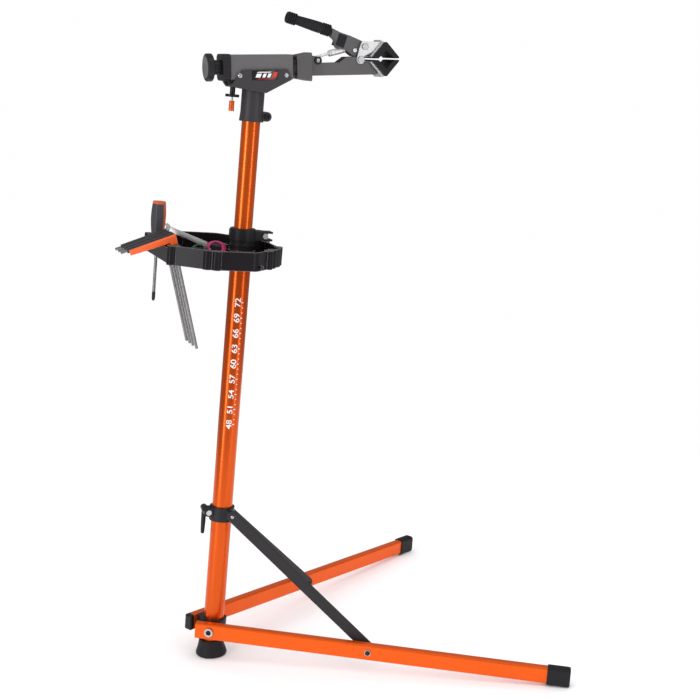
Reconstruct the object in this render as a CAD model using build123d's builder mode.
from build123d import *

import os
from math import asin, atan2, cos, degrees, radians, sin, sqrt, tan

# Folding repair stand: leaning telescopic mast, two fold-up legs, tool tray and a swivelling clamp head.
# Millimetres, +Z up. The origin is on the floor under the mast foot, and +X points along the clamp arm.
# Mast pieces are drawn in mast coordinates: x forward, y sideways and s up the leaning mast.
# Head pieces are drawn about the point where the clamp's level axis crosses the mast.

# Mast
lean = 5.45
lower_tube_diameter = 40.0
lower_tube_radius = lower_tube_diameter / 2
lower_tube_wall = 2.0
lower_tube_bottom = 14.0
lower_tube_top = 846.0
tube_play = 0.5
upper_tube_radius = lower_tube_radius - lower_tube_wall - tube_play
upper_tube_wall = 1.8
upper_tube_bottom = 420.0
upper_tube_below_head = 40.3
bush_length = 36.0
bush_plug_length = 24.0

# Clearances
running_fit = 0.05
seat_fit = 0.05
body_gap = 0.4

# Foot and base block
foot_flare = 11.0
foot_neck_wall = 4.5
foot_radius = lower_tube_radius + foot_flare
foot_neck_radius = lower_tube_radius + foot_neck_wall
foot_height = 33.0
foot_lip = 7.0
block_bottom = 46.0
block_height = 32.0
block_wall = 5.0
block_radius = lower_tube_radius + block_wall
ear_thickness = 7.0
ear_length = 36.0

# Legs
leg_spread = 30.0
leg_width = 18.0
leg_depth = 32.0
leg_wall = 1.6
leg_corner = 4.0
leg_reach = 709.0
leg_back = 28.4
leg_from_tube = 9.6
leg_plane_offset = lower_tube_radius + leg_from_tube + leg_width / 2
leg_pivot_forward = 2.7
leg_pivot_height = 62.0
cap_length = 44.0
cap_margin = 2.5
cap_end = 6.0
plug_depth = 12.0
plug_dome = 9.0
pivot_bolt_radius = 4.0
pivot_head_radius = 8.6
pivot_head_height = 3.5
pivot_socket_radius = 5.6

# Struts and fold collar
strut_depth = 22.0
strut_width = 5.5
strut_rivet_reach = 318.0
strut_rivet_radius = 3.0
rivet_head_radius = 4.8
rivet_head_height = 2.4
rivet_shoulder_radius = 6.5
collar_bottom = 282.0
collar_height = 28.0
collar_wall = 4.4
collar_radius = lower_tube_radius + collar_wall
collar_lug_reach = 8.0
collar_lug_forward = lower_tube_radius + collar_lug_reach
collar_lug_height = 297.0
collar_lug_radius = 9.0
collar_lug_thickness = 6.5
hinge_pin_radius = 4.0
hinge_head_radius = 5.4
collar_ear_reach = 10.0
collar_bolt_back = lower_tube_radius + collar_ear_reach
collar_bolt_height = 299.0
collar_bolt_radius = 3.0
clamp_ear_inner = 2.0
clamp_ear_outer = 11.0
clamp_ear_radius = 8.5
lever_hub_side = 21.0
lever_hub_radius = 7.0
lever_hub_length = 15.0
lever_pin_radius = 2.5
fold_lever_length = 54.0
lever_thickness = 6.5

# Height clamp
height_clamp_bottom = 820.0
height_clamp_step = 838.0
height_clamp_top = 861.0
height_ring_wall = 4.6
height_neck_wall = 2.4
height_clamp_radius = lower_tube_radius + height_ring_wall
height_neck_radius = lower_tube_radius + height_neck_wall
height_ear_forward = 22.0
height_ear_reach = lower_tube_radius + height_ear_forward
height_ear_height = 18.0
height_lever_length = 60.0

# Tool tray
tray_bottom = 798.0
tray_height = 35.0
tray_wall = 3.0
tray_left = 162.0
tray_left_half = 90.0
tray_half_depth = 142.0
tray_shoulder_left = 96.0
tray_shoulder_right = 12.0
tray_right = 60.0
tray_right_half = 62.0
tray_corner = 16.0
tray_hub_wall = 6.5
tray_hub_radius = lower_tube_radius + tray_hub_wall
tray_hub_height = 21.0
tray_rib_thickness = 4.0
tray_rib_height = 7.0
flute_radius = 8.5
flute_bore = 5.5
rack_depth = 34.0
rack_drop = 7.0
rack_thickness = 6.0

# Tools in the tray
hex_rod_radius = 2.6
hex_hole_radius = 3.4
hex_bend_back = 146.0
hex_bend_height = 840.5
hex_key_sides = (30.0, 6.0, -18.0)
orange_key_side = -45.0
hex_shank_length = 214.0
hex_shank_tilt = 16.0
hex_handle_slope = 21.0
hex_handle_length = 84.0
hex_stub_length = 12.2
hex_short_end = 12.0
hex_grip_depth = 13.0
hex_grip_width = 11.0
driver_back = 149.0
driver_side = 66.0
driver_handle_length = 64.0
driver_handle_radius = 14.0
driver_blade_radius = 3.0
driver_blade_length = 128.0
spanner_length = 112.0
spanner_thickness = 4.5

# Clamp head, measured from the point where its axis crosses the mast
head_height = 1157.0
housing_size = 46.0
housing_wall = 3.0
housing_back = -53.4
housing_front = 66.6
rear_cap_margin = 1.5
rear_cap_size = housing_size + 2 * rear_cap_margin
rear_cap_length = 14.5
axle_radius = 10.0
axle_flange_inset = 3.0
axle_flange_radius = housing_size / 2 - axle_flange_inset
axle_flange_length = 9.1
index_ring_gap = 3.0
index_ring_radius = housing_size / 2 - housing_wall - index_ring_gap
index_ring_length = 14.0
axle_thread_radius = 6.0
bush_width = 14.0
knob_radius = 25.5
knob_thickness = 12.0
knob_neck_radius = 13.5
knob_neck_length = 14.8
sleeve_length = 27.5
sleeve_back_inset = 1.5
sleeve_front_flare = 3.5
sleeve_back_size = housing_size - 2 * sleeve_back_inset
sleeve_front_size = housing_size + 2 * sleeve_front_flare
socket_drop = 100.3
socket_wall = 4.0
socket_bell = 1.5
cheek_thickness = 4.2
bracket_ear_reach = 10.0
bracket_ear_rise = 11.0
bracket_bolt_radius = 3.0
index_pin_back = 40.2
index_pin_radius = 2.0
index_neck_radius = 5.0
index_flange_radius = 13.0
index_flange_drop = 58.0
index_flange_height = 5.0
index_grip_radius = 4.6
index_grip_drop = 78.0
index_grip_length = 16.0

# Clamp arm, jaws and toggle, measured from the same point
arm_half_width = 14.5
arm_wall = 3.0
arm_lobe_radius = 8.6
arm_outline = (
    (103.6, -16.6),
    (237.6, -15.5),
    (241.1, -13.6),
    (222.6, 7.0),
    (211.6, 7.3),
    (195.4, 18.2),
    (177.6, 17.8),
    (162.6, 7.5),
    (127.6, 6.8),
    (125.6, 15.0),
    (119.6, 19.0),
    (111.6, 20.0),
    (103.6, 21.5),
)
jaw_pivot = (204.6, 12.8)
link_pivot = (119.1, 12.0)
handle_pivot = (213.2, 37.3)
link_end = (194.9, 29.9)
clamp_pin_radius = 3.5
link_pin_radius = 3.0
jaw_half_length = 30.0
jaw_centre = 252.6
jaw_half_span = 28.6
jaw_rise = 31.5
jaw_groove = 16.0
lower_mouth = 12.0
upper_mouth = 14.8
backing_thickness = 4.0
backing_half_length = 22.0
plate_inner = 15.0
plate_thickness = 2.5
plate_lobe_radius = 8.2
plate_outline = (
    (207.1, 47.0),
    (246.6, 45.6),
    (230.6, 28.0),
    (216.6, 21.5),
    (196.6, 13.0),
    (201.6, 33.0),
)
handle_half_width = 11.2
handle_lobe_radius = 8.0
handle_slot_half = 7.5
handle_outline = (
    (148.2, 56.9),
    (150.4, 70.7),
    (164.6, 63.8),
    (186.2, 56.9),
    (211.3, 46.5),
    (203.2, 19.4),
    (192.0, 18.9),
    (174.2, 31.9),
    (161.2, 34.8),
    (157.1, 49.5),
)
link_eye_radius = 6.5
link_eye_half_width = 6.0
link_play = 6.5
barrel_radius = 5.0
barrel_start = 28.0
barrel_length = 34.0
rod_radius = 2.5
rod_rise = 5.5
grip_start = (148.6, 65.9)
grip_slope = 163.4
grip_length = 90.0
grip_radius = 10.0
grip_ring = 1.5
handle_rod_radius = 5.5

# Directions and planes
mast_x = Vector(cos(radians(lean)), 0, -sin(radians(lean)))
mast_z = Vector(sin(radians(lean)), 0, cos(radians(lean)))
mast = Plane(origin=(0, 0, 0), x_dir=mast_x, z_dir=mast_z)


# Head reference point, and its place along the mast
head_x = head_height * tan(radians(lean))
head_s = head_height / cos(radians(lean))
upper_tube_top = head_s - upper_tube_below_head


def mast_point(x, y, s):
    """World point from mast coordinates."""
    return mast.from_local_coords(Vector(x, y, s))


def mast_side(y):
    """Upright plane along the mast at a given y: local x is mast x, local y is s, normal -Y."""
    return Plane(origin=(0, y, 0), x_dir=mast_x, z_dir=(0, -1, 0))


def head_side(y):
    """Upright plane at a given y with its origin at the head: local x forward, local y up, normal -Y."""
    return Plane(origin=(head_x, y, head_height), x_dir=(1, 0, 0), z_dir=(0, -1, 0))


def head_cross(x):
    """Plane square to the clamp's axis at a given distance in front of the mast: local x is Y."""
    return Plane(origin=(head_x + x, 0, head_height), x_dir=(0, 1, 0), z_dir=(1, 0, 0))


def fold_plane(side):
    """Plane through the mast axis that a leg folds in: local x runs out along the leg, local y up the mast."""
    out = mast_x * cos(radians(leg_spread)) + Vector(0, 1, 0) * side * sin(radians(leg_spread))
    return Plane(origin=(0, 0, 0), x_dir=out, z_dir=out.cross(mast_z))


def fold_offset(side, distance):
    """The fold plane moved outwards by a distance from the mast axis."""
    return fold_plane(side).offset(-side * distance)


# Fold linkage, in the fold plane
leg_tip_height = leg_depth / 2 + cap_margin - 0.6
leg_pivot_z = leg_pivot_forward * -sin(radians(lean)) * cos(radians(leg_spread)) + leg_pivot_height * mast_z.Z
out_drop = sin(radians(lean)) * cos(radians(leg_spread))
side_rise = sin(radians(leg_spread)) * sin(radians(lean)) * leg_plane_offset
leg_angle = degrees(
    asin((leg_tip_height - leg_pivot_z - side_rise) / leg_reach / sqrt(mast_z.Z**2 + out_drop**2))
    + atan2(out_drop, mast_z.Z)
)
leg_dir = (cos(radians(leg_angle)), sin(radians(leg_angle)))
rivet_rest = (
    leg_pivot_forward + strut_rivet_reach * leg_dir[0],
    leg_pivot_height + strut_rivet_reach * leg_dir[1],
)
strut_length = sqrt(
    (rivet_rest[0] - collar_lug_forward) ** 2 + (rivet_rest[1] - collar_lug_height) ** 2
)
strut_angle = degrees(
    atan2(rivet_rest[1] - collar_lug_height, rivet_rest[0] - collar_lug_forward)
)
leg_inner = leg_plane_offset - leg_width / 2
leg_outer = leg_plane_offset + leg_width / 2
strut_outer = leg_inner - cap_margin - body_gap
strut_inner = strut_outer - strut_width
ear_outer = leg_inner - body_gap


def write(builder, name):
    """Label a finished piece and write its STEP file."""
    builder.part.label = name
    export_step(builder.part, f"parts/{name}.step")


os.makedirs("parts", exist_ok=True)

# Lower mast tube
with BuildPart() as lower_tube:
    with BuildSketch(mast.offset(lower_tube_bottom)):
        Circle(lower_tube_radius)
        Circle(lower_tube_radius - lower_tube_wall, mode=Mode.SUBTRACT)
    extrude(amount=lower_tube_top - lower_tube_bottom)
    chamfer(lower_tube.edges().filter_by(GeomType.CIRCLE), 0.4)
write(lower_tube, "lower_tube")

# Upper mast tube
upper_tube_bore = upper_tube_radius - upper_tube_wall
with BuildPart() as upper_tube:
    with BuildSketch(mast.offset(upper_tube_bottom)):
        Circle(upper_tube_radius)
        Circle(upper_tube_bore, mode=Mode.SUBTRACT)
    extrude(amount=upper_tube_top - upper_tube_bottom)
    chamfer(upper_tube.edges().filter_by(GeomType.CIRCLE), 0.4)
write(upper_tube, "upper_tube")

# Nylon bush: a guide ring that slides in the lower tube, with a plug that the upper tube turns on
with BuildPart() as guide_bush:
    with BuildSketch(mast.offset(upper_tube_bottom - body_gap)):
        Circle(lower_tube_radius - lower_tube_wall - running_fit)
    extrude(amount=-bush_length)
    with BuildSketch(mast.offset(upper_tube_bottom - body_gap)):
        Circle(upper_tube_bore - running_fit)
    extrude(amount=bush_plug_length)
    with BuildSketch(mast.offset(upper_tube_bottom - bush_length - 1)):
        Circle(upper_tube_bore - 4)
    extrude(amount=bush_length + bush_plug_length + 2, mode=Mode.SUBTRACT)
write(guide_bush, "guide_bush")

# Rubber mast foot: a bell that stands flat on the floor and takes the leaning tube
with BuildPart() as mast_foot:
    with BuildSketch(Plane.XZ):
        with BuildLine():
            bell_base = Line((0, 0), (foot_radius - 1.5, 0))
            bell_edge = TangentArc(bell_base @ 1, (foot_radius, 1.5), tangent=(1, 0))
            bell_lip = Line(bell_edge @ 1, (foot_radius, foot_lip))
            bell_step = Line(bell_lip @ 1, (foot_radius - 3, foot_lip + 2.5))
            bell_flare = ThreePointArc(
                bell_step @ 1,
                (foot_neck_radius + 0.8, foot_height * 0.62),
                (foot_neck_radius, foot_height),
            )
            bell_top = Line(bell_flare @ 1, (0, foot_height))
            Line(bell_top @ 1, (0, 0))
        make_face()
    revolve(axis=Axis.Z)
    with BuildSketch(mast.offset(lower_tube_bottom)):
        Circle(lower_tube_radius + seat_fit)
    extrude(amount=foot_height + 10, mode=Mode.SUBTRACT)
write(mast_foot, "mast_foot")

# Base block: clamp ring on the tube with an ear for each leg and a web behind
ear_middle = ear_outer - ear_thickness / 2
with BuildPart() as base_block:
    with BuildSketch(mast.offset(block_bottom)):
        Circle(block_radius)
        for side in (-1, 1):
            turn = side * leg_spread
            out = Vector(cos(radians(turn)), sin(radians(turn)))
            inward = Vector(sin(radians(leg_spread)), -side * cos(radians(leg_spread)))
            middle = out * leg_pivot_forward - inward * ear_middle
            with Locations((middle.X, middle.Y)):
                Rectangle(ear_length, ear_thickness, rotation=turn)
        with Locations((-block_radius + 3, 0)):
            Rectangle(14, ear_middle * 1.3)
    extrude(amount=block_height)
    with BuildSketch(mast.offset(block_bottom - 1)):
        Circle(lower_tube_radius + seat_fit)
    extrude(amount=block_height + 2, mode=Mode.SUBTRACT)
    for side in (-1, 1):
        with BuildSketch(fold_offset(side, ear_outer + 1)):
            with Locations((leg_pivot_forward, leg_pivot_height)):
                Circle(pivot_bolt_radius + seat_fit)
        extrude(amount=side * (ear_thickness + 1.4), mode=Mode.SUBTRACT)
write(base_block, "base_block")

# Leg pivot bolts: shoulder bolts with a dished socket head outside each leg
with BuildPart() as leg_pivot_bolts:
    for side in (-1, 1):
        with BuildSketch(fold_offset(side, leg_outer + body_gap)):
            with Locations((leg_pivot_forward, leg_pivot_height)):
                Circle(pivot_bolt_radius)
        extrude(amount=side * (leg_width + body_gap * 2 + ear_thickness - 0.6))
        with BuildSketch(fold_offset(side, leg_outer + body_gap)):
            with Locations((leg_pivot_forward, leg_pivot_height)):
                Circle(pivot_head_radius)
        extrude(amount=-side * pivot_head_height)
        with BuildSketch(fold_offset(side, leg_outer + body_gap + pivot_head_height)):
            with Locations((leg_pivot_forward, leg_pivot_height)):
                RegularPolygon(pivot_socket_radius, 6)
        extrude(amount=side * (pivot_head_height - 0.8), mode=Mode.SUBTRACT)
write(leg_pivot_bolts, "leg_pivot_bolts")


def leg_section(side, distance):
    """Plane across a leg at a distance from its pivot, with local x across the leg's width."""
    plane = fold_offset(side, leg_plane_offset)
    pivot = plane.from_local_coords(Vector(leg_pivot_forward, leg_pivot_height, 0))
    along = plane.x_dir * leg_dir[0] + plane.y_dir * leg_dir[1]
    return Plane(origin=pivot + along * distance, x_dir=plane.z_dir, z_dir=along)


def leg_point(distance):
    """Point on a leg's centre line, in fold-plane coordinates."""
    return (
        leg_pivot_forward + distance * leg_dir[0],
        leg_pivot_height + distance * leg_dir[1],
    )


for side, hand in ((-1, "right"), (1, "left")):
    # Leg tube
    with BuildPart() as leg:
        with BuildSketch(leg_section(side, -leg_back)):
            RectangleRounded(leg_width, leg_depth, leg_corner)
            RectangleRounded(
                leg_width - 2 * leg_wall,
                leg_depth - 2 * leg_wall,
                leg_corner - leg_wall,
                mode=Mode.SUBTRACT,
            )
        extrude(amount=leg_back + leg_reach - cap_end)
        with BuildSketch(fold_offset(side, leg_outer + 1)):
            with Locations(leg_point(0)):
                Circle(pivot_bolt_radius + running_fit)
            with Locations(leg_point(strut_rivet_reach)):
                Circle(strut_rivet_radius + seat_fit)
        extrude(amount=side * (leg_width + 2), mode=Mode.SUBTRACT)
    write(leg, f"leg_{hand}")

    # Rubber end cap, cut flat where it stands on the floor
    with BuildPart() as leg_cap:
        with BuildSketch(leg_section(side, leg_reach - cap_length)):
            RectangleRounded(
                leg_width + 2 * cap_margin, leg_depth + 2 * cap_margin, leg_corner + cap_margin
            )
        extrude(amount=cap_length)
        cap_tip = leg_cap.faces().sort_by(Axis(origin=(0, 0, 0), direction=leg_section(side, 0).z_dir))[-1]
        fillet(cap_tip.edges(), 3)
        with BuildSketch(leg_section(side, leg_reach - cap_length - 1)):
            RectangleRounded(leg_width + 2 * seat_fit, leg_depth + 2 * seat_fit, leg_corner)
        extrude(amount=cap_length - cap_end + 1, mode=Mode.SUBTRACT)
        split(bisect_by=Plane.XY, keep=Keep.TOP)
    write(leg_cap, f"leg_cap_{hand}")

    # Plug in the back end of the tube: domed on the left leg, sunk flush in the right one
    with BuildPart() as leg_plug:
        with BuildSketch(leg_section(side, -leg_back)):
            RectangleRounded(
                leg_width - 2 * leg_wall - 2 * seat_fit,
                leg_depth - 2 * leg_wall - 2 * seat_fit,
                leg_corner - leg_wall,
            )
        extrude(amount=plug_depth)
        if side > 0:
            with BuildSketch(leg_section(side, -leg_back)):
                RectangleRounded(leg_width, leg_depth, leg_corner)
            extrude(amount=-plug_dome)
            plug_tip = leg_plug.faces().sort_by(
                Axis(origin=(0, 0, 0), direction=leg_section(side, 0).z_dir)
            )[0]
            fillet(plug_tip.edges(), 4)
    write(leg_plug, f"leg_plug_{hand}")

    # Rivet that carries the strut, with a spacer on the leg's inner face; the linkage is left open there
    with BuildPart() as strut_rivet:
        with BuildSketch(fold_offset(side, leg_outer)):
            with Locations(leg_point(strut_rivet_reach)):
                Circle(strut_rivet_radius)
        extrude(amount=side * (leg_width + cap_margin))
        with BuildSketch(fold_offset(side, leg_outer)):
            with Locations(leg_point(strut_rivet_reach)):
                Circle(rivet_head_radius)
        extrude(amount=-side * rivet_head_height)
        with BuildSketch(fold_offset(side, leg_inner)):
            with Locations(leg_point(strut_rivet_reach)):
                Circle(rivet_shoulder_radius)
        extrude(amount=side * cap_margin)
        rivet_top = strut_rivet.faces().sort_by(
            Axis(origin=(0, 0, 0), direction=fold_plane(side).z_dir * -side)
        )[-1]
        fillet(rivet_top.edges(), 1.6)
    write(strut_rivet, f"strut_rivet_{hand}")

    # Flat strut from the collar lug to the leg
    strut_middle = (
        (collar_lug_forward + rivet_rest[0]) / 2,
        (collar_lug_height + rivet_rest[1]) / 2,
    )
    with BuildPart() as strut:
        with BuildSketch(fold_offset(side, strut_outer)):
            with Locations(strut_middle):
                SlotCenterToCenter(strut_length, strut_depth, rotation=strut_angle)
            with Locations((collar_lug_forward, collar_lug_height)):
                Circle(hinge_pin_radius + running_fit, mode=Mode.SUBTRACT)
            with Locations(rivet_rest):
                Circle(strut_rivet_radius + 0.3, mode=Mode.SUBTRACT)
        extrude(amount=side * strut_width)
        strut_rims = strut.faces().filter_by(Axis(origin=(0, 0, 0), direction=fold_plane(side).z_dir))
        chamfer(strut_rims.edges().filter_by(GeomType.LINE), 0.8)
        with BuildSketch(fold_offset(side, strut_outer)):
            with Locations((collar_lug_forward, collar_lug_height)):
                Circle(hinge_head_radius + running_fit)
        extrude(amount=side * (rivet_head_height + running_fit), mode=Mode.SUBTRACT)
    write(strut, f"strut_{hand}")

# Fold collar: split clamp ring that slides on the lower tube, with strut lugs and rear clamp ears
lug_outer = strut_inner - body_gap
with BuildPart() as fold_collar:
    with BuildSketch(mast.offset(collar_bottom)):
        Circle(collar_radius)
    extrude(amount=collar_height)
    for side in (-1, 1):
        with BuildSketch(fold_offset(side, lug_outer)):
            with Locations((collar_lug_forward, collar_lug_height)):
                Circle(collar_lug_radius)
            with Locations((collar_lug_forward / 2, collar_lug_height)):
                Rectangle(collar_lug_forward, 2 * collar_lug_radius)
        extrude(amount=side * collar_lug_thickness)
    for y in (-clamp_ear_outer, clamp_ear_inner):
        with BuildSketch(mast_side(y)):
            with Locations((-collar_bolt_back, collar_bolt_height)):
                Circle(clamp_ear_radius)
            with Locations((-collar_bolt_back / 2 - 8, collar_bolt_height)):
                Rectangle(collar_bolt_back - 16, 2 * clamp_ear_radius)
        extrude(amount=-(clamp_ear_outer - clamp_ear_inner))
    with BuildSketch(mast.offset(collar_bottom - 2)):
        Circle(lower_tube_radius + running_fit)
        with Locations((-collar_bolt_back, 0)):
            Rectangle(2 * collar_bolt_back, 2 * clamp_ear_inner)
    extrude(amount=collar_height + 4, mode=Mode.SUBTRACT)
    with BuildSketch(mast_side(0)):
        with Locations((-collar_bolt_back, collar_bolt_height)):
            Circle(collar_bolt_radius + seat_fit)
    extrude(amount=clamp_ear_outer + 2, both=True, mode=Mode.SUBTRACT)
    for side in (-1, 1):
        with BuildSketch(fold_offset(side, lug_outer + 1)):
            with Locations((collar_lug_forward, collar_lug_height)):
                Circle(hinge_pin_radius + seat_fit)
        extrude(amount=side * (collar_lug_thickness + 2), mode=Mode.SUBTRACT)
write(fold_collar, "fold_collar")

# Hinge pins that carry the struts on the collar lugs, their heads sunk flush in the struts
with BuildPart() as strut_hinge_pins:
    for side in (-1, 1):
        with BuildSketch(fold_offset(side, strut_outer)):
            with Locations((collar_lug_forward, collar_lug_height)):
                Circle(hinge_pin_radius)
        extrude(amount=side * (strut_width + body_gap + collar_lug_thickness))
        with BuildSketch(fold_offset(side, strut_outer)):
            with Locations((collar_lug_forward, collar_lug_height)):
                Circle(hinge_head_radius)
        extrude(amount=side * rivet_head_height)
write(strut_hinge_pins, "strut_hinge_pins")


def quick_release_bolt(plane_point, plane, hub_side):
    """Clamp bolt through the ears along y, with a domed head and a cross pin for the cam lever."""
    with BuildPart() as bolt:
        with BuildSketch(plane.offset(clamp_ear_outer)):
            with Locations(plane_point):
                Circle(collar_bolt_radius)
        extrude(amount=-(clamp_ear_outer + hub_side))
        with BuildSketch(plane.offset(clamp_ear_outer)):
            with Locations(plane_point):
                Circle(rivet_head_radius + 0.6)
        extrude(amount=rivet_head_height)
        with BuildSketch(plane.offset(-hub_side - 3.5)):
            with Locations(plane_point):
                Circle(3.6)
        extrude(amount=7)
    return bolt


# Fold clamp bolt with the cam's cross pin along mast x
with BuildPart() as fold_collar_bolt:
    add(quick_release_bolt((-collar_bolt_back, collar_bolt_height), mast_side(0), lever_hub_side).part)
    with BuildSketch(
        Plane(
            origin=mast_point(-collar_bolt_back - lever_hub_length / 2, lever_hub_side, collar_bolt_height),
            x_dir=(0, 1, 0),
            z_dir=mast_x,
        )
    ):
        Circle(lever_pin_radius)
    extrude(amount=lever_hub_length)
write(fold_collar_bolt, "fold_collar_bolt")

# Fold lever: cam hub on the cross pin, blade hanging down beside the tube
lever_slot = 2 * 3.6 + 0.8
with BuildPart() as fold_lever:
    with BuildSketch(
        Plane(
            origin=mast_point(-collar_bolt_back - lever_hub_length / 2, lever_hub_side, collar_bolt_height),
            x_dir=(0, 1, 0),
            z_dir=mast_x,
        )
    ):
        Circle(lever_hub_radius)
        with Locations((lever_hub_radius - lever_thickness / 2, -fold_lever_length / 2)):
            Rectangle(lever_thickness, fold_lever_length)
    extrude(amount=lever_hub_length)
    fillet(fold_lever.edges().filter_by(GeomType.LINE), 1.4)
    with BuildSketch(
        Plane(
            origin=mast_point(-collar_bolt_back - lever_slot / 2, lever_hub_side, collar_bolt_height),
            x_dir=(0, 1, 0),
            z_dir=mast_x,
        )
    ):
        Circle(lever_hub_radius + 0.6)
        with Locations((-lever_hub_radius / 2, 0)):
            Rectangle(lever_hub_radius + 4, 2 * lever_hub_radius)
    extrude(amount=lever_slot, mode=Mode.SUBTRACT)
    with BuildSketch(
        Plane(
            origin=mast_point(-collar_bolt_back - lever_hub_length, lever_hub_side, collar_bolt_height),
            x_dir=(0, 1, 0),
            z_dir=mast_x,
        )
    ):
        Circle(lever_pin_radius + running_fit)
    extrude(amount=2 * lever_hub_length, mode=Mode.SUBTRACT)
write(fold_lever, "fold_lever")

# Height clamp: neck seated on the lower tube, ring that grips the upper tube, ears to the front
height_bolt = (height_ear_reach, height_clamp_top - 4 - height_ear_height / 2)
with BuildPart() as height_clamp:
    with BuildSketch(mast.offset(height_clamp_bottom)):
        Circle(height_neck_radius)
    extrude(amount=height_clamp_step - height_clamp_bottom)
    with BuildSketch(mast.offset(height_clamp_step)):
        Circle(height_clamp_radius)
    extrude(amount=height_clamp_top - height_clamp_step)
    ring_rims = height_clamp.edges().filter_by(GeomType.CIRCLE)
    fillet(ring_rims.group_by(Axis(origin=(0, 0, 0), direction=mast_z))[-1], 1.5)
    with BuildSketch(mast.offset(height_clamp_bottom + 7)):
        Circle(height_neck_radius + 1.2)
    extrude(amount=4)
    for y in (-clamp_ear_outer, clamp_ear_inner):
        with BuildSketch(mast_side(y)):
            with Locations((height_ear_reach / 2 + 9, height_bolt[1])):
                Rectangle(height_ear_reach - 8, height_ear_height)
            with Locations((height_ear_reach + 9, height_bolt[1] + height_ear_height / 2 - 1.8)):
                Rectangle(12, 3.6)
            with Locations((height_ear_reach + 9, height_bolt[1] - height_ear_height / 2 + 1.8)):
                Rectangle(12, 3.6)
        extrude(amount=-(clamp_ear_outer - clamp_ear_inner))
    with BuildSketch(mast.offset(height_clamp_bottom - 1)):
        Circle(lower_tube_radius + seat_fit)
    extrude(amount=lower_tube_top - height_clamp_bottom + 1.3, mode=Mode.SUBTRACT)
    with BuildSketch(mast.offset(height_clamp_bottom - 1)):
        Circle(upper_tube_radius + running_fit)
    extrude(amount=height_clamp_top - height_clamp_bottom + 2, mode=Mode.SUBTRACT)
    with BuildSketch(mast.offset(height_clamp_step)):
        with Locations((height_ear_reach, 0)):
            Rectangle(2 * height_ear_reach, 2 * clamp_ear_inner)
    extrude(amount=height_clamp_top - height_clamp_step + 1, mode=Mode.SUBTRACT)
    with BuildSketch(mast_side(0)):
        with Locations(height_bolt):
            Circle(collar_bolt_radius + seat_fit)
    extrude(amount=clamp_ear_outer + 2, both=True, mode=Mode.SUBTRACT)
write(height_clamp, "height_clamp")

# Height clamp bolt with the cam's cross pin along the mast
with BuildPart() as height_clamp_bolt:
    add(quick_release_bolt(height_bolt, mast_side(0), lever_hub_side).part)
    with BuildSketch(
        Plane(
            origin=mast_point(height_bolt[0], lever_hub_side, height_bolt[1] - lever_hub_length / 2),
            x_dir=mast_x,
            z_dir=mast_z,
        )
    ):
        Circle(lever_pin_radius)
    extrude(amount=lever_hub_length)
write(height_clamp_bolt, "height_clamp_bolt")

# Height lever: lies back along the far side of the ring when closed
with BuildPart() as height_lever:
    with BuildSketch(mast.offset(height_bolt[1] - lever_hub_length / 2)):
        with Locations((height_bolt[0], lever_hub_side)):
            Circle(lever_hub_radius)
        with Locations(
            (
                height_bolt[0] - height_lever_length / 2,
                height_clamp_radius + body_gap + lever_thickness / 2,
            )
        ):
            Rectangle(height_lever_length, lever_thickness)
        with Locations((height_bolt[0] - 2, lever_hub_side + lever_hub_radius - 2)):
            Rectangle(8, 6)
    extrude(amount=lever_hub_length)
    with BuildSketch(mast.offset(height_bolt[1] - lever_slot / 2)):
        with Locations((height_bolt[0], lever_hub_side)):
            Circle(lever_hub_radius + 0.6)
        with Locations((height_bolt[0] + 3, lever_hub_side - lever_hub_radius / 2)):
            Rectangle(2 * lever_hub_radius, lever_hub_radius + 4)
    extrude(amount=lever_slot, mode=Mode.SUBTRACT)
    with BuildSketch(mast.offset(height_bolt[1] - lever_hub_length)):
        with Locations((height_bolt[0], lever_hub_side)):
            Circle(lever_pin_radius + running_fit)
    extrude(amount=2 * lever_hub_length, mode=Mode.SUBTRACT)
write(height_lever, "height_lever")

# Tool tray: octagonal tub round the mast, with hub, ribs, fluted corner pockets and a rack along the left edge
tray_outline = (
    (-tray_left, -tray_left_half),
    (-tray_shoulder_left, -tray_half_depth),
    (-tray_shoulder_right, -tray_half_depth),
    (tray_right, -tray_right_half),
    (tray_right, tray_right_half),
    (-tray_shoulder_right, tray_half_depth),
    (-tray_shoulder_left, tray_half_depth),
    (-tray_left, tray_left_half),
)
flute_places = [
    (x, side * y)
    for side in (-1, 1)
    for x, y in (
        (-tray_shoulder_left - 7, tray_half_depth - 8),
        (-tray_shoulder_left + 8, tray_half_depth - 2),
        (tray_right * 0.36, tray_half_depth * 0.72),
        (tray_right * 0.55, tray_half_depth * 0.60),
        (tray_right, tray_right_half - 22),
        (-tray_left + 3, tray_left_half + 1),
    )
]
key_sides = (*hex_key_sides, orange_key_side)
shank_dir = (sin(radians(hex_shank_tilt)), -cos(radians(hex_shank_tilt)))
tub_floor = tray_bottom + tray_wall
tray_top = tray_bottom + tray_height
rack_top = tray_top - rack_drop
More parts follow.
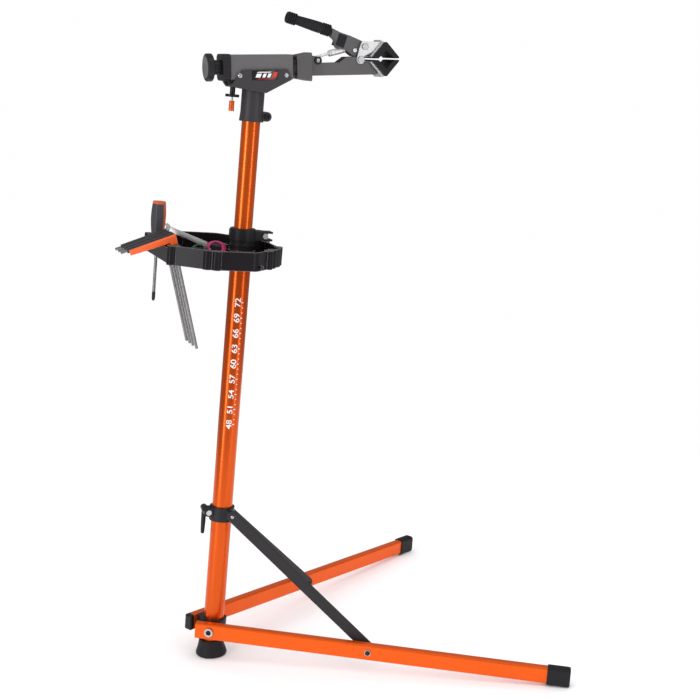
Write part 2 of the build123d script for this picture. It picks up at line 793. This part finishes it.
with BuildPart() as tool_tray:
    with BuildSketch(mast.offset(tray_bottom)):
        Polygon(*tray_outline, align=None)
        fillet(vertices(), tray_corner)
    extrude(amount=tray_height)
    with BuildSketch(mast.offset(tub_floor)):
        Polygon(*tray_outline, align=None)
        fillet(vertices(), tray_corner)
        offset(amount=-tray_wall, mode=Mode.REPLACE)
    extrude(amount=tray_height, mode=Mode.SUBTRACT)
    with BuildSketch(mast.offset(rack_top)):
        with Locations((-tray_left, 0)):
            Rectangle(4 * tray_wall, 2 * tray_left_half - tray_corner)
    extrude(amount=tray_height, mode=Mode.SUBTRACT)
    with BuildSketch(mast.offset(rack_top - rack_thickness)):
        with Locations((-tray_left + rack_depth / 2, 0)):
            Rectangle(rack_depth - tray_wall, 2 * tray_left_half - tray_corner)
        with Locations((-driver_back, driver_side)):
            Circle(flute_radius)
    extrude(amount=rack_thickness)
    with BuildSketch(mast.offset(tub_floor)):
        with Locations((-tray_left + rack_depth - tray_wall / 2, 0)):
            Rectangle(tray_wall, 2 * tray_left_half - tray_corner)
    extrude(amount=rack_top - tub_floor)
    with BuildSketch(mast.offset(tray_bottom)):
        with Locations(*flute_places):
            Circle(flute_radius)
        with Locations((-driver_back, driver_side)):
            Circle(flute_radius)
    extrude(amount=tray_height)
    with BuildSketch(mast.offset(tray_bottom)):
        Circle(tray_hub_radius)
    extrude(amount=tray_hub_height)
    with BuildSketch(mast.offset(tub_floor)):
        with Locations((tray_right / 2, 0)):
            Rectangle(tray_right - tray_wall, tray_rib_thickness)
        for side in (-1, 1):
            with Locations((0, side * tray_half_depth / 2)):
                Rectangle(tray_rib_thickness, tray_half_depth - 2 * tray_wall)
    extrude(amount=tray_rib_height)
    with BuildSketch(mast.offset(tub_floor)):
        with Locations(*flute_places):
            Circle(flute_bore)
    extrude(amount=tray_height, mode=Mode.SUBTRACT)
    with BuildSketch(mast.offset(tray_bottom - 1)):
        Circle(lower_tube_radius + seat_fit)
        with Locations((-driver_back, driver_side)):
            Circle(driver_blade_radius + body_gap)
    extrude(amount=tray_height + 2, mode=Mode.SUBTRACT)
    for key_side in key_sides:
        with BuildSketch(
            Plane(
                origin=mast_point(-hex_bend_back, key_side, hex_bend_height),
                x_dir=(0, 1, 0),
                z_dir=mast_x * shank_dir[0] + mast_z * shank_dir[1],
            )
        ):
            Circle(hex_hole_radius)
        extrude(amount=hex_shank_length, mode=Mode.SUBTRACT)
write(tool_tray, "tool_tray")

# Hex keys: a bent rod whose long shank hangs through the rack, in a moulded grip that lies over the edge
handle_dir = (-cos(radians(hex_handle_slope)), -sin(radians(hex_handle_slope)))
handle_across = (-handle_dir[1], handle_dir[0])
bend = (-hex_bend_back, hex_bend_height)


def along_key(distance, across=0.0):
    """Point on a key's handle line, in mast-side coordinates."""
    return (
        bend[0] + handle_dir[0] * distance + handle_across[0] * across,
        bend[1] + handle_dir[1] * distance + handle_across[1] * across,
    )


key_grips = [(side, f"hex_key_grip_{i}", f"hex_key_rod_{i}") for i, side in enumerate(hex_key_sides, 1)]
key_grips.append((orange_key_side, "orange_hex_grip", "orange_hex_rod"))
for key_side, grip_name, rod_name in key_grips:
    rod_end = hex_handle_length + (hex_short_end if key_side != orange_key_side else -6)
    shank_tip = (bend[0] + shank_dir[0] * hex_shank_length, bend[1] + shank_dir[1] * hex_shank_length)
    with BuildPart() as hex_rod:
        with BuildLine(mast_side(key_side)) as rod_path:
            FilletPolyline(along_key(rod_end), bend, shank_tip, radius=8)
        with BuildSketch(Plane(origin=rod_path.line @ 0, z_dir=rod_path.line % 0)):
            Circle(hex_rod_radius)
        sweep()
    write(hex_rod, rod_name)

    grip_half = hex_grip_depth / 2
    with BuildPart() as hex_grip:
        with BuildSketch(mast_side(key_side)):
            Polygon(
                along_key(hex_handle_length, grip_half * 0.7),
                along_key(hex_handle_length, -grip_half * 0.7),
                along_key(-grip_half, -grip_half),
                (
                    along_key(-grip_half, 0)[0] + shank_dir[0] * hex_stub_length,
                    along_key(-grip_half, 0)[1] + shank_dir[1] * hex_stub_length,
                ),
                (
                    along_key(grip_half, 0)[0] + shank_dir[0] * hex_stub_length,
                    along_key(grip_half, 0)[1] + shank_dir[1] * hex_stub_length,
                ),
                along_key(grip_half * 1.6, grip_half),
                align=None,
            )
        extrude(amount=hex_grip_width / 2, both=True)
        grip_sides = hex_grip.faces().filter_by(Axis.Y)
        fillet(grip_sides.edges(), 2.5)
        add(hex_rod.part, mode=Mode.SUBTRACT)
    write(hex_grip, grip_name)

# Screwdriver standing in the rack
with BuildPart() as screwdriver_handle:
    with BuildSketch(mast.offset(tray_bottom + tray_height + body_gap)):
        with Locations((-driver_back, driver_side)):
            RegularPolygon(driver_handle_radius * 0.86, 6)
            fillet(vertices(), 4)
    with BuildSketch(mast.offset(tray_bottom + tray_height + driver_handle_length * 0.55)):
        with Locations((-driver_back, driver_side)):
            RegularPolygon(driver_handle_radius * 1.08, 6)
            fillet(vertices(), 4)
    with BuildSketch(mast.offset(tray_bottom + tray_height + driver_handle_length)):
        with Locations((-driver_back, driver_side)):
            RegularPolygon(driver_handle_radius * 0.92, 6)
            fillet(vertices(), 4)
    loft(ruled=False)
    with BuildSketch(mast.offset(tray_bottom + tray_height)):
        with Locations((-driver_back, driver_side)):
            Circle(driver_blade_radius)
    extrude(amount=driver_handle_length * 0.6, mode=Mode.SUBTRACT)
write(screwdriver_handle, "screwdriver_handle")

with BuildPart() as screwdriver_blade:
    with BuildSketch(mast.offset(tray_bottom + tray_height + driver_handle_length * 0.6)):
        with Locations((-driver_back, driver_side)):
            Circle(driver_blade_radius)
    extrude(amount=-driver_blade_length - driver_handle_length * 0.6)
    blade_tip = screwdriver_blade.faces().sort_by(Axis.Z)[0]
    chamfer(blade_tip.edges(), 4.0, 1.6)
write(screwdriver_blade, "screwdriver_blade")

# Small open-ended spanner leaning on the back left corner of the tray
spanner_low = mast_point(-26, 84, tub_floor + 4.6)
spanner_high = mast_point(-116, 127, tray_top + 6.4)
spanner_dir = (spanner_high - spanner_low).normalized()
spanner_plane = Plane(
    origin=(spanner_low + spanner_high) / 2,
    x_dir=spanner_dir,
    z_dir=spanner_dir.cross(Vector(0, 0, 1)).cross(spanner_dir),
)
with BuildPart() as spanner:
    with BuildSketch(spanner_plane):
        Rectangle(spanner_length - 22, 7)
        with Locations((spanner_length / 2 - 9, 0)):
            Circle(9.5)
        with Locations((spanner_length / 2 - 2, 0)):
            Rectangle(13, 7.5, mode=Mode.SUBTRACT)
        with Locations((-spanner_length / 2 + 8, 0)):
            Circle(8.5)
            Circle(4.6, mode=Mode.SUBTRACT)
    extrude(amount=spanner_thickness / 2, both=True)
write(spanner, "spanner")

# Head bracket: split socket on the upper tube and a cradle with cheeks for the square housing
housing_half = housing_size / 2
socket_bottom = head_s - socket_drop
socket_radius = upper_tube_radius + socket_wall
bell_height = 16.0
cheek_outer = housing_half + body_gap / 2 + cheek_thickness
bracket_ear_forward = upper_tube_radius + bracket_ear_reach
bracket_ear_height = socket_bottom + bracket_ear_rise
bracket_ear_outer = 10.0
cradle_outline = (
    (housing_back, -housing_half - 8.5),
    (housing_back + 9.5, -housing_half + 4),
    (housing_back + 22, -housing_half + 19),
    (housing_front - 11, -housing_half + 19.5),
    (housing_front - 3.5, -housing_half),
    (housing_front - 54, -housing_half - 24),
    (housing_back + 21, -housing_half - 15),
    (housing_back + 4, -housing_half - 12.5),
)
cradle_bolts = ((housing_back + 16, -14.5), (housing_front - 14, -14.5))
with BuildPart() as head_bracket:
    with BuildSketch(head_side(0)):
        Polygon(*cradle_outline, align=None)
    extrude(amount=cheek_outer, both=True)
    fillet(head_bracket.edges().filter_by(Axis.Y), 2.0)
    with BuildSketch(mast.offset(socket_bottom)):
        Circle(socket_radius + socket_bell)
    with BuildSketch(mast.offset(socket_bottom + bell_height)):
        Circle(socket_radius)
    loft()
    with BuildSketch(mast.offset(socket_bottom + bell_height)):
        Circle(socket_radius)
    extrude(amount=upper_tube_top + 4 - socket_bottom - bell_height)
    for y in (-bracket_ear_outer, clamp_ear_inner):
        with BuildSketch(mast_side(y)):
            with Locations((bracket_ear_forward, bracket_ear_height)):
                Circle(9)
            with Locations((bracket_ear_forward / 2 + 6, bracket_ear_height)):
                Rectangle(bracket_ear_forward - 12, 18)
        extrude(amount=-(bracket_ear_outer - clamp_ear_inner))
    with BuildSketch(head_cross(housing_back - 2)):
        Rectangle(housing_size + body_gap, housing_size)
    extrude(amount=housing_front - housing_back + 6, mode=Mode.SUBTRACT)
    with BuildSketch(mast.offset(socket_bottom - 1)):
        Circle(upper_tube_radius + seat_fit)
    extrude(amount=upper_tube_top - socket_bottom + 1.4, mode=Mode.SUBTRACT)
    with BuildSketch(mast.offset(socket_bottom - 1)):
        with Locations((bracket_ear_forward, 0)):
            Rectangle(2 * bracket_ear_forward, 2 * clamp_ear_inner)
    extrude(amount=2 * bell_height, mode=Mode.SUBTRACT)
    with BuildSketch(head_side(0)):
        with Locations(*cradle_bolts):
            Circle(bracket_bolt_radius + seat_fit)
    extrude(amount=cheek_outer + 1, both=True, mode=Mode.SUBTRACT)
    with BuildSketch(mast_side(0)):
        with Locations((bracket_ear_forward, bracket_ear_height)):
            Circle(bracket_bolt_radius + seat_fit)
    extrude(amount=bracket_ear_outer + 1, both=True, mode=Mode.SUBTRACT)
    with BuildSketch(mast.offset(head_s - index_flange_drop)):
        with Locations((-index_pin_back, 0)):
            Circle(index_neck_radius + seat_fit)
    extrude(amount=index_flange_drop, mode=Mode.SUBTRACT)
write(head_bracket, "head_bracket")

# Cradle screws: a short screw through each cheek into the housing wall, with a domed head
with BuildPart() as bracket_bolts:
    for side in (-1, 1):
        with BuildSketch(head_side(side * cheek_outer)):
            with Locations(*cradle_bolts):
                Circle(bracket_bolt_radius)
        extrude(amount=side * (cheek_thickness + housing_wall))
        with BuildSketch(head_side(side * cheek_outer)):
            with Locations(*cradle_bolts):
                Circle(bracket_bolt_radius + 1.8)
        extrude(amount=-side * rivet_head_height)
write(bracket_bolts, "bracket_bolts")

# Pinch bolt of the socket
with BuildPart() as bracket_clamp_bolt:
    with BuildSketch(mast_side(-bracket_ear_outer)):
        with Locations((bracket_ear_forward, bracket_ear_height)):
            Circle(bracket_bolt_radius)
    extrude(amount=-2 * bracket_ear_outer)
    with BuildSketch(mast_side(-bracket_ear_outer)):
        with Locations((bracket_ear_forward, bracket_ear_height)):
            Circle(bracket_bolt_radius + 2.4)
    extrude(amount=4)
    with BuildSketch(mast_side(-bracket_ear_outer - 1)):
        with Locations((bracket_ear_forward, bracket_ear_height)):
            RegularPolygon(bracket_bolt_radius, 6)
    extrude(amount=4, mode=Mode.SUBTRACT)
    with BuildSketch(mast_side(bracket_ear_outer)):
        with Locations((bracket_ear_forward, bracket_ear_height)):
            RegularPolygon(bracket_bolt_radius + 2.6, 6)
    extrude(amount=-4)
write(bracket_clamp_bolt, "bracket_clamp_bolt")

# Square housing tube
housing_bore = housing_size - 2 * housing_wall
with BuildPart() as head_housing:
    with BuildSketch(head_cross(housing_back)):
        RectangleRounded(housing_size, housing_size, 3)
        RectangleRounded(housing_bore, housing_bore, 1, mode=Mode.SUBTRACT)
    extrude(amount=housing_front - housing_back)
    with BuildSketch(head_side(0)):
        with Locations(*cradle_bolts):
            Circle(bracket_bolt_radius + seat_fit)
    extrude(amount=housing_size, both=True, mode=Mode.SUBTRACT)
    with BuildSketch(mast.offset(head_s - index_flange_drop)):
        with Locations((-index_pin_back, 0)):
            Circle(index_pin_radius + 1)
    extrude(amount=index_flange_drop, mode=Mode.SUBTRACT)
write(head_housing, "head_housing")

# Rear cap, closing the housing round the axle, with a small tongue under it
with BuildPart() as housing_rear_cap:
    with BuildSketch(head_cross(housing_back)):
        RectangleRounded(rear_cap_size, rear_cap_size, 9)
    extrude(amount=-rear_cap_length)
    cap_rear = housing_rear_cap.faces().sort_by(Axis.X)[0]
    fillet(cap_rear.edges(), 2.5)
    with BuildSketch(head_side(0)):
        Polygon(
            (housing_back - 10, -rear_cap_size / 2 + 1),
            (housing_back - 2, -rear_cap_size / 2 + 1),
            (housing_back - 2, -rear_cap_size / 2 - 10),
            (housing_back - 6, -rear_cap_size / 2 - 6),
            align=None,
        )
    extrude(amount=5, both=True)
    with BuildSketch(head_cross(housing_back + 1)):
        Circle(axle_radius + running_fit)
    extrude(amount=-rear_cap_length - 4, mode=Mode.SUBTRACT)
write(housing_rear_cap, "housing_rear_cap")

# Two nylon bushes that carry the axle in the square tube
with BuildPart() as axle_bushes:
    for bush_x in (housing_back + 25, housing_front - bush_width - 2):
        with BuildSketch(head_cross(bush_x)):
            RectangleRounded(housing_bore - 2 * seat_fit, housing_bore - 2 * seat_fit, 1.2)
            Circle(axle_radius + running_fit, mode=Mode.SUBTRACT)
        extrude(amount=bush_width)
write(axle_bushes, "axle_bushes")

# Swivel axle: thrust flange at the front, index ring inside the housing, thread for the knob at the back
cap_back = housing_back - rear_cap_length
sleeve_back = housing_front + body_gap + axle_flange_length
with BuildPart() as swivel_axle:
    with BuildSketch(head_cross(cap_back)):
        Circle(axle_radius)
    extrude(amount=sleeve_back - cap_back)
    with BuildSketch(head_cross(sleeve_back)):
        Circle(axle_flange_radius)
    extrude(amount=-axle_flange_length)
    with BuildSketch(head_cross(housing_back + 6)):
        Circle(index_ring_radius)
    extrude(amount=index_ring_length)
    with BuildSketch(head_cross(cap_back)):
        Circle(axle_thread_radius)
    extrude(amount=-knob_neck_length + 2)
write(swivel_axle, "swivel_axle")

# Swivel sleeve: square block that widens from the thrust flange to the clamp arm
with BuildPart() as swivel_sleeve:
    with BuildSketch(head_cross(sleeve_back)):
        RectangleRounded(sleeve_back_size, sleeve_back_size, 4)
    with BuildSketch(head_cross(sleeve_back + sleeve_length)):
        RectangleRounded(sleeve_front_size, sleeve_front_size, 6)
    loft()
write(swivel_sleeve, "swivel_sleeve")

# Friction knob on the thread, with a dished disc let into its face
knob_front = cap_back - body_gap - 0.3
knob_face = knob_front - knob_neck_length - knob_thickness
knob_disc_radius = 20.0
knob_disc_depth = 3.5
with BuildPart() as friction_knob:
    with BuildSketch(head_cross(knob_face)):
        Circle(knob_radius)
    extrude(amount=knob_thickness)
    fillet(friction_knob.edges(), 2.5)
    with BuildSketch(head_cross(knob_face + knob_thickness)):
        Circle(knob_neck_radius)
    extrude(amount=knob_neck_length)
    with BuildSketch(head_cross(knob_face)):
        Circle(knob_disc_radius + seat_fit)
    extrude(amount=knob_disc_depth, mode=Mode.SUBTRACT)
    with BuildSketch(head_cross(cap_back - knob_neck_length)):
        Circle(axle_thread_radius + running_fit)
    extrude(amount=knob_neck_length, mode=Mode.SUBTRACT)
write(friction_knob, "friction_knob")

with BuildPart() as knob_disc:
    with BuildSketch(head_side(0)):
        with BuildLine():
            disc_back = Line((knob_face + knob_disc_depth, 0), (knob_face + knob_disc_depth, knob_disc_radius))
            disc_edge = Line(disc_back @ 1, (knob_face - 0.6, knob_disc_radius))
            disc_lip = Line(disc_edge @ 1, (knob_face - 0.6, knob_disc_radius - 2))
            disc_dish = Line(disc_lip @ 1, (knob_face + 1.8, knob_disc_radius * 0.3))
            disc_middle = Line(disc_dish @ 1, (knob_face + 1.8, 0))
            Line(disc_middle @ 1, disc_back @ 0)
        make_face()
    revolve(axis=Axis((0, 0, head_height), (1, 0, 0)))
write(knob_disc, "knob_disc")

# Index pin: guide with a round flange under the bracket, sprung pin, pull grip
index_plane_x = -index_pin_back
pin_top = head_s - index_ring_radius - 4.2
with BuildPart() as index_pin_guide:
    with BuildSketch(mast.offset(head_s - index_flange_drop)):
        with Locations((index_plane_x, 0)):
            Circle(index_flange_radius)
    extrude(amount=index_flange_height)
    with BuildSketch(mast.offset(head_s - index_flange_drop)):
        with Locations((index_plane_x, 0)):
            Circle(index_neck_radius)
    extrude(amount=index_flange_drop - housing_half - 7)
    with BuildSketch(mast.offset(head_s - index_flange_drop - 1)):
        with Locations((index_plane_x, 0)):
            Circle(index_pin_radius + running_fit)
    extrude(amount=index_flange_drop, mode=Mode.SUBTRACT)
write(index_pin_guide, "index_pin_guide")

with BuildPart() as index_pin:
    with BuildSketch(mast.offset(pin_top)):
        with Locations((index_plane_x, 0)):
            Circle(index_pin_radius)
    extrude(amount=-(pin_top - head_s + index_grip_drop - 6))
write(index_pin, "index_pin")

with BuildPart() as index_pin_grip:
    with BuildSketch(mast.offset(head_s - index_grip_drop)):
        with Locations((index_plane_x, 0)):
            Circle(index_grip_radius)
    extrude(amount=index_grip_length)
    fillet(index_pin_grip.edges(), 1.2)
    with BuildSketch(mast.offset(head_s - index_grip_drop + 6)):
        with Locations((index_plane_x, 0)):
            Circle(index_pin_radius + seat_fit)
    extrude(amount=index_grip_length, mode=Mode.SUBTRACT)
write(index_pin_grip, "index_pin_grip")


def jaw_outline(mouth, sense):
    """Outline of a V-grooved pad: sense +1 for the upper pad and -1 for the lower one."""
    return (
        (jaw_centre - jaw_half_span, mouth),
        (jaw_centre, mouth + sense * jaw_rise),
        (jaw_centre + jaw_half_span, mouth),
        (jaw_centre + jaw_groove, mouth),
        (jaw_centre, mouth + sense * jaw_groove),
        (jaw_centre - jaw_groove, mouth),
    )


def backing_outline(mouth, sense, inner, outer, first, last):
    """Strip that lies along a pad's back face, between two distances from it."""
    span = sqrt(jaw_half_span**2 + jaw_rise**2)
    run = (jaw_half_span / span, sense * jaw_rise / span)
    away = (-sense * run[1], sense * run[0])
    corner = (jaw_centre - jaw_half_span, mouth)
    return [
        (corner[0] + run[0] * span * t + away[0] * d, corner[1] + run[1] * span * t + away[1] * d)
        for t, d in ((first, inner), (last, inner), (last, outer), (first, outer))
    ]


# Pads and their backing plates: the lower pair sits in the arm, the upper pair in the moving jaw
for mouth, sense, level in ((lower_mouth, -1, "lower"), (upper_mouth, 1, "upper")):
    with BuildPart() as jaw_pad:
        with BuildSketch(head_side(0)):
            Polygon(*jaw_outline(mouth, sense), align=None)
        extrude(amount=jaw_half_length, both=True)
        fillet(jaw_pad.edges().filter_by(Axis.Y), 2.0)
        fillet(jaw_pad.faces().filter_by(Axis.Y).edges(), 0.8)
    write(jaw_pad, f"{level}_jaw_pad")

    with BuildPart() as jaw_backing:
        with BuildSketch(head_side(0)):
            Polygon(*backing_outline(mouth, sense, 0, backing_thickness, 0.06, 0.95), align=None)
        extrude(amount=backing_half_length, both=True)
        fillet(jaw_backing.edges().filter_by(Axis.Y), 0.6)
    write(jaw_backing, f"{level}_jaw_backing")

# Clamp arm: channel with a lobe for the jaw pivot, ending against the lower backing plate
with BuildPart() as clamp_arm:
    with BuildSketch(head_side(0)):
        Polygon(*arm_outline, align=None)
        with Locations(jaw_pivot):
            Circle(arm_lobe_radius)
    extrude(amount=arm_half_width, both=True)
    with BuildSketch(head_side(0)):
        Polygon(*backing_outline(lower_mouth, -1, -40, backing_thickness, -1, 2), align=None)
    extrude(amount=jaw_half_length, both=True, mode=Mode.SUBTRACT)
    with BuildSketch(head_cross(sleeve_back + sleeve_length + 8)):
        with Locations((0, housing_half - arm_half_width + arm_wall)):
            Rectangle(2 * (arm_half_width - arm_wall), 2 * housing_half + 2)
    extrude(amount=jaw_pivot[0] - sleeve_back - sleeve_length + 6, mode=Mode.SUBTRACT)
    with BuildSketch(head_side(0)):
        with Locations(jaw_pivot):
            Circle(clamp_pin_radius + seat_fit)
        with Locations(link_pivot):
            Circle(link_pin_radius + seat_fit)
    extrude(amount=arm_half_width + 1, both=True, mode=Mode.SUBTRACT)
write(clamp_arm, "clamp_arm")

# Pivot pins fixed in the arm
plate_outer = plate_inner + plate_thickness
with BuildPart() as clamp_pins:
    for place, pin, reach in (
        (jaw_pivot, clamp_pin_radius, plate_outer + body_gap),
        (link_pivot, link_pin_radius, arm_half_width),
    ):
        with BuildSketch(head_side(0)):
            with Locations(place):
                Circle(pin)
        extrude(amount=reach, both=True)
        for side in (-1, 1):
            with BuildSketch(head_side(side * reach)):
                with Locations(place):
                    Circle(pin + 2.2)
            extrude(amount=-side * 1.8)
write(clamp_pins, "clamp_pins")

# Moving jaw: two side plates and a spine across them behind the upper backing plate
with BuildPart() as jaw_side_plates:
    for y in (-plate_inner, plate_outer):
        with BuildSketch(head_side(y)):
            Polygon(*plate_outline, align=None)
            with Locations(jaw_pivot):
                Circle(plate_lobe_radius)
        extrude(amount=plate_thickness)
    with BuildSketch(head_side(0)):
        Polygon(
            *backing_outline(upper_mouth, 1, backing_thickness, backing_thickness + plate_thickness, 0.42, 0.95),
            align=None,
        )
    extrude(amount=plate_outer, both=True)
    with BuildSketch(head_side(0)):
        Polygon(*backing_outline(upper_mouth, 1, -40, backing_thickness, -1, 2), align=None)
    extrude(amount=jaw_half_length, both=True, mode=Mode.SUBTRACT)
    with BuildSketch(head_side(0)):
        with Locations(jaw_pivot):
            Circle(clamp_pin_radius + running_fit)
        with Locations(handle_pivot):
            Circle(clamp_pin_radius + seat_fit)
    extrude(amount=plate_outer + 1, both=True, mode=Mode.SUBTRACT)
write(jaw_side_plates, "jaw_side_plates")

# Rivet that joins the handle to the jaw's side plates
with BuildPart() as handle_rivet:
    with BuildSketch(head_side(0)):
        with Locations(handle_pivot):
            Circle(clamp_pin_radius)
    extrude(amount=plate_outer, both=True)
    for side in (-1, 1):
        with BuildSketch(head_side(side * plate_outer)):
            with Locations(handle_pivot):
                Circle(clamp_pin_radius + 2.2)
        extrude(amount=-side * 1.8)
write(handle_rivet, "handle_rivet")

# Clamp handle: forked lever with a round rod that carries the grip
toggle_length = sqrt((link_end[0] - link_pivot[0]) ** 2 + (link_end[1] - link_pivot[1]) ** 2)
toggle_dir = (
    (link_end[0] - link_pivot[0]) / toggle_length,
    (link_end[1] - link_pivot[1]) / toggle_length,
)


def toggle_point(along, above):
    """Point measured along the adjuster link from its pivot, and above its line."""
    return (
        link_pivot[0] + toggle_dir[0] * along - toggle_dir[1] * above,
        link_pivot[1] + toggle_dir[1] * along + toggle_dir[0] * above,
    )


grip_dir = Vector(cos(radians(grip_slope)), 0, sin(radians(grip_slope)))
grip_plane = Plane(
    origin=(head_x + grip_start[0], 0, head_height + grip_start[1]),
    x_dir=(0, 1, 0),
    z_dir=grip_dir,
)
slot_above = rod_rise + barrel_radius + 1
slot_reach = link_eye_radius + link_play
with BuildPart() as clamp_handle:
    with BuildSketch(head_side(0)):
        Polygon(*handle_outline, align=None)
        with Locations(handle_pivot):
            Circle(handle_lobe_radius)
    extrude(amount=handle_half_width, both=True)
    fillet(clamp_handle.faces().filter_by(Axis.Y).edges(), 0.8)
    with BuildSketch(grip_plane.offset(-8)):
        Circle(handle_rod_radius)
    extrude(amount=grip_length)
    with BuildSketch(head_side(0)):
        Polygon(
            toggle_point(toggle_length + slot_reach, slot_above),
            toggle_point(0, slot_above),
            toggle_point(0, -toggle_length),
            toggle_point(toggle_length + slot_reach, -toggle_length),
            align=None,
        )
    extrude(amount=handle_slot_half, both=True, mode=Mode.SUBTRACT)
    with BuildSketch(head_side(0)):
        with Locations(handle_pivot):
            Circle(clamp_pin_radius + running_fit)
    extrude(amount=handle_half_width + 1, both=True, mode=Mode.SUBTRACT)
write(clamp_handle, "clamp_handle")

# Rubber grip with a raised ring at each end
with BuildPart() as handle_grip:
    with BuildSketch(grip_plane):
        Circle(grip_radius)
    extrude(amount=grip_length)
    for ring_start in (0, grip_length - 5):
        with BuildSketch(grip_plane.offset(ring_start)):
            Circle(grip_radius + grip_ring)
        extrude(amount=5)
    fillet(handle_grip.edges().filter_by(GeomType.CIRCLE), 0.7)
    with BuildSketch(grip_plane.offset(-1)):
        Circle(handle_rod_radius + seat_fit)
    extrude(amount=grip_length - 5, mode=Mode.SUBTRACT)
write(handle_grip, "handle_grip")

# Adjuster link: two eyes joined by a rod; the far eye stops inside the handle's fork, where the loop is open
with BuildPart() as adjuster_link:
    with BuildSketch(head_side(0)):
        with Locations(link_pivot, link_end):
            Circle(link_eye_radius)
    extrude(amount=link_eye_half_width, both=True)
    rod_start = toggle_point(0, rod_rise)
    with BuildSketch(
        Plane(
            origin=(head_x + rod_start[0], 0, head_height + rod_start[1]),
            x_dir=(0, 1, 0),
            z_dir=(toggle_dir[0], 0, toggle_dir[1]),
        )
    ):
        Circle(rod_radius)
    extrude(amount=toggle_length)
    with BuildSketch(head_side(0)):
        with Locations(link_pivot):
            Circle(link_pin_radius + running_fit)
    extrude(amount=link_eye_half_width + 1, both=True, mode=Mode.SUBTRACT)
write(adjuster_link, "adjuster_link")

# Knurled barrel that turns on the rod
barrel_point = toggle_point(barrel_start, rod_rise)
with BuildPart() as adjuster_barrel:
    with BuildSketch(
        Plane(
            origin=(head_x + barrel_point[0], 0, head_height + barrel_point[1]),
            x_dir=(0, 1, 0),
            z_dir=(toggle_dir[0], 0, toggle_dir[1]),
        )
    ):
        Circle(barrel_radius)
        Circle(rod_radius + running_fit, mode=Mode.SUBTRACT)
    extrude(amount=barrel_length)
write(adjuster_barrel, "adjuster_barrel")
